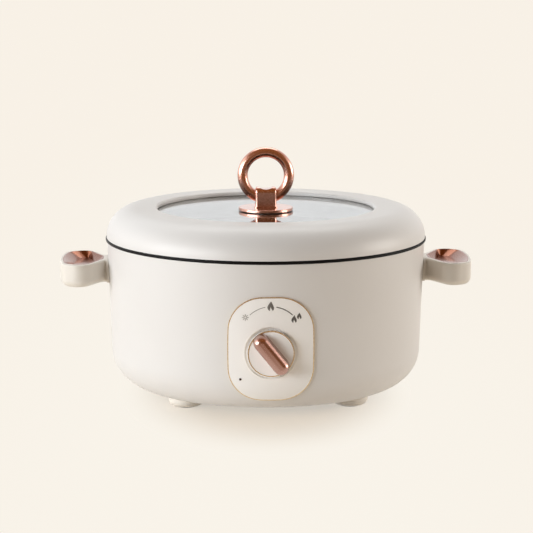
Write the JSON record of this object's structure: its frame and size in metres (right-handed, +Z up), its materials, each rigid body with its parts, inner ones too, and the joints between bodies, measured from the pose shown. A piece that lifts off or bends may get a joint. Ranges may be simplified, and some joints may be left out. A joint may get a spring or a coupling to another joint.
{
  "type": "electric hot pot",
  "caption": "Round electric hot pot with a cream body, black coated pot, glass lid with a folding ring handle, ear handles and a front heat knob.",
  "frame": {"origin": "on the worktop, under the middle of the pot", "axes": "+X to the right handle, +Y to the back with the power inlet, +Z up; the knob faces -Y"},
  "size_m": [0.3852, 0.326, 0.23],
  "materials": {
    "cream_plastic": "glossy",
    "black_coating": "satin non-stick coat",
    "window_glass": "clear",
    "rose_gold": "polished rose gold plating",
    "silicone": "matte",
    "pad_rubber": "matte",
    "steel": "satin",
    "brass": "satin",
    "black_plastic": "matte",
    "ceramic": "matte, stands for ceramic",
    "cutoff_metal": "satin",
    "lamp_plastic": "smoked",
    "lead_brown": "matte",
    "lead_blue": "matte",
    "lead_green": "matte"
  },
  "bodies": {
    "base": {"base_screws": "steel", "bottom_cover": "cream_plastic", "control_panel": "cream_plastic", "cutoff_holder": "ceramic", "foot_front_left": "cream_plastic", "foot_front_right": "cream_plastic", "foot_pad_front_left": "pad_rubber", "foot_pad_front_right": "pad_rubber", "foot_pad_rear_left": "pad_rubber", "foot_pad_rear_right": "pad_rubber", "foot_rear_left": "cream_plastic", "foot_rear_right": "cream_plastic", "handle_dish_left": "rose_gold", "handle_dish_right": "rose_gold", "handle_left": "cream_plastic", "handle_right": "cream_plastic", "handle_screws": "steel", "heat_shield": "steel", "heater_pins": "steel", "heater_seals": "ceramic", "heater_tube": "steel", "indicator_lamp": "lamp_plastic", "indicator_lens": "lamp_plastic", "inlet_blades": "brass", "inlet_housing": "black_plastic", "inlet_nuts": "steel", "inlet_screws": "steel", "inner_pot": "black_coating", "lead_earth": "lead_green", "lead_heater": "lead_brown", "lead_live": "lead_brown", "lead_neutral": "lead_blue", "lead_switched": "lead_brown", "outer_shell": "cream_plastic", "panel_screws": "steel", "panel_trim": "rose_gold", "regulator_body": "black_plastic", "regulator_nut": "steel", "shield_clips": "steel", "thermal_cutoff": "cutoff_metal", "tie_posts": "steel"},
    "knob": {"regulator_shaft": "steel", "knob_skirt": "cream_plastic", "knob_ring": "rose_gold", "knob_grip": "rose_gold"},
    "lid": {"lid_rim": "cream_plastic", "lid_glass": "window_glass", "glass_gasket": "silicone", "lid_liner": "cream_plastic", "lid_screws": "steel", "lid_handle_gasket": "silicone", "lid_handle_stand": "rose_gold", "lid_handle_washer": "steel", "lid_handle_bolt": "steel", "lid_handle_strap": "rose_gold"},
    "lid_ring": {"lid_handle_ring": "rose_gold"}
  },
  "joints": [
    {"name": "knob_turn", "type": "hinge", "parent": "base", "child": "knob", "pos_m": [0, -0.15, 0.065], "axis": [0, 1, 0], "range_deg": [0, 78]},
    {"name": "lid_lift", "type": "slide", "parent": "base", "child": "lid", "axis": [0, 0, 1], "range_m": [0, 0.16]},
    {"name": "ring_fold", "type": "hinge", "parent": "lid", "child": "lid_ring", "pos_m": [0, 0, 0.18425], "axis": [1, 0, 0], "range_deg": [-90, 90]}
  ]
}
